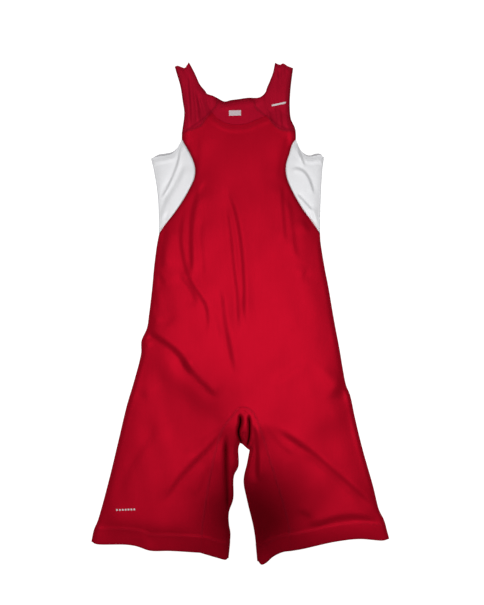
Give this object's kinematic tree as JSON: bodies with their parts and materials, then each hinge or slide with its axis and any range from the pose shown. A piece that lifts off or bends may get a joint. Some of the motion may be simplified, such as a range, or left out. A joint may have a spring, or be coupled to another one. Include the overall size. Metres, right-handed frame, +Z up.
{
  "type": "athletics bodysuit",
  "caption": "Sleeveless athletics bodysuit with knee-length legs, laid flat: red front and back, white side panels, mesh shoulder straps and an inner-leg gusset.",
  "frame": {"origin": "middle of the garment's outline, on the surface that it lies on", "axes": "+Z up out of the front, +Y towards the neck, +X towards the wearer's left side"},
  "size_m": [0.5948, 1.0037, 0.0137],
  "materials": {
    "red_knit": "smooth stretch knit with a low sheen",
    "strap_knit": "matt fine mesh knit",
    "white_knit": "smooth stretch knit with a low sheen"
  },
  "bodies": {
    "root": {"front_body": "red_knit", "back_body": "red_knit", "gusset": "red_knit", "shoulder_left": "strap_knit", "shoulder_right": "strap_knit", "side_panel_left": "white_knit", "side_panel_right": "white_knit"}
  },
  "joints": []
}
